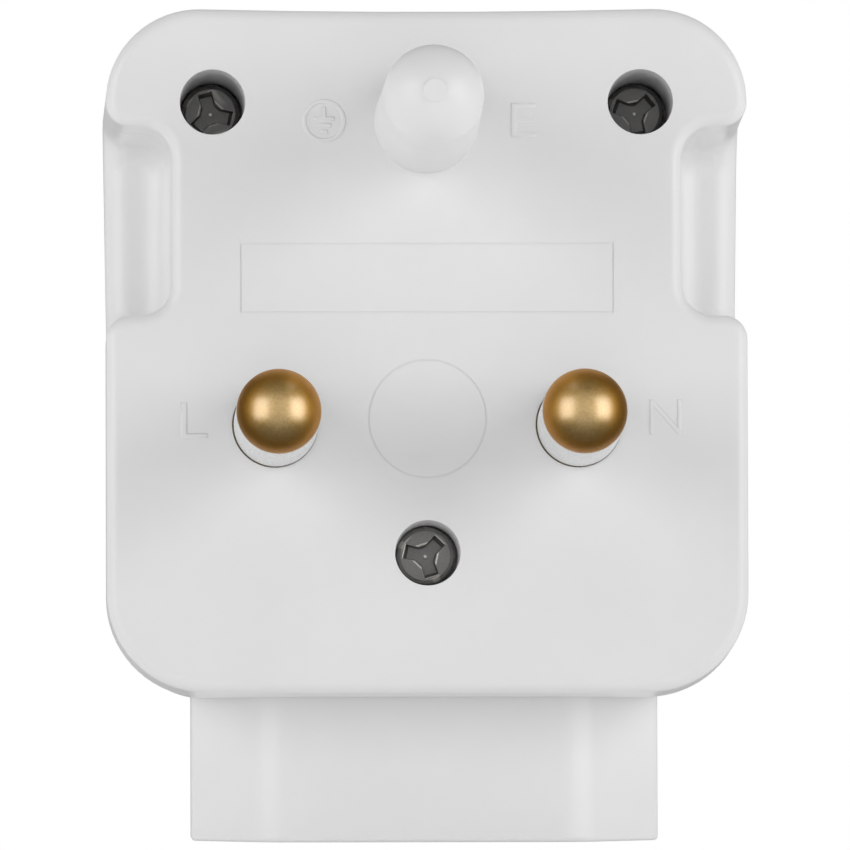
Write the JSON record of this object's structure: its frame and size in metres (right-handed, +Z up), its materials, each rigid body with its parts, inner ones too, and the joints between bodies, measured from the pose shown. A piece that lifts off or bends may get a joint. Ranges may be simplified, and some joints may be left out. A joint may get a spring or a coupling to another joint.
{
  "type": "switched double adapter",
  "caption": "White wall adapter with two round brass pins and a plastic earth pin, a flat two-pin outlet in front, another below, finger grips and a rocker switch.",
  "frame": {"origin": "on the plug face, midway between the two round current pins", "axes": "+X to the right as the plug face is seen, +Y from the plug face into the room, +Z up towards the earth pin"},
  "size_m": [0.0538, 0.0623, 0.0696],
  "materials": {
    "housing_plastic": "satin moulded",
    "pin_brass": "tumbled, softly polished",
    "sleeve_plastic": "satin moulded",
    "screw_steel": "dark oxide",
    "contact_bronze": "bright rolled",
    "strip_brass": "bright rolled",
    "switch_plastic": "polished moulded",
    "plunger_plastic": "natural moulded",
    "spring_steel": "drawn wire"
  },
  "bodies": {
    "adapter": {"back_cover": "housing_plastic", "front_housing": "housing_plastic", "line_pin": "pin_brass", "neutral_pin": "pin_brass", "line_pin_sleeve": "sleeve_plastic", "neutral_pin_sleeve": "sleeve_plastic", "cover_screw_left": "screw_steel", "cover_screw_right": "screw_steel", "cover_screw_bottom": "screw_steel", "front_line_contact": "contact_bronze", "front_neutral_contact": "contact_bronze", "bottom_line_contact": "contact_bronze", "bottom_neutral_contact": "contact_bronze", "neutral_strip": "strip_brass", "line_outlet_strip": "strip_brass", "line_feed_strip": "strip_brass", "switch_frame": "switch_plastic", "switch_pivot_terminal": "strip_brass", "switch_line_terminal": "strip_brass"},
    "rocker": {"rocker": "switch_plastic", "rocker_plunger": "plunger_plastic", "rocker_spring": "spring_steel"},
    "lever": {"switch_lever": "contact_bronze"}
  },
  "joints": [
    {"name": "rocker_tilt", "type": "hinge", "parent": "adapter", "child": "rocker", "pos_m": [0, 0.0285, 0.0242], "axis": [0, 0, -1], "range_deg": [0, 24]},
    {"name": "lever_tip", "type": "hinge", "parent": "adapter", "child": "lever", "pos_m": [0, 0.0205, 0.0242], "axis": [0, 0, -1], "range_deg": [-16, 0]}
  ],
  "couplings": [
    {"joint": "lever_tip", "follows": "rocker_tilt", "ratio": -0.6666}
  ]
}
